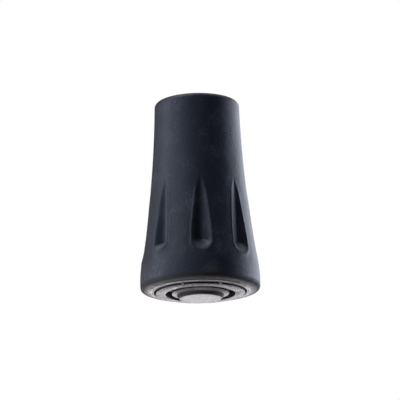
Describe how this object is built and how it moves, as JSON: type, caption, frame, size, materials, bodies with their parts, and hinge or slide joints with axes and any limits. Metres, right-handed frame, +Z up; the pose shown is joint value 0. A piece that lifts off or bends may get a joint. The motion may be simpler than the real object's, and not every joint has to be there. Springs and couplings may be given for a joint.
{
  "type": "trekking pole tip",
  "caption": "Push-on rubber tip for a trekking pole: a flared bell with tapered flutes, a crowned and ringed sole, and a blind round socket.",
  "frame": {"origin": "centre of the flat boss in the middle of the sole, on the ground", "axes": "+Z up along the pole, out of the socket's mouth; -Y is the front, with one flute 2 degrees to its right"},
  "size_m": [0.028, 0.028, 0.0473],
  "materials": {
    "rubber": "matt charcoal rubber with a faint blue cast, its sole scuffed a little paler"
  },
  "bodies": {
    "root": {"rubber_tip": "rubber"}
  },
  "joints": []
}
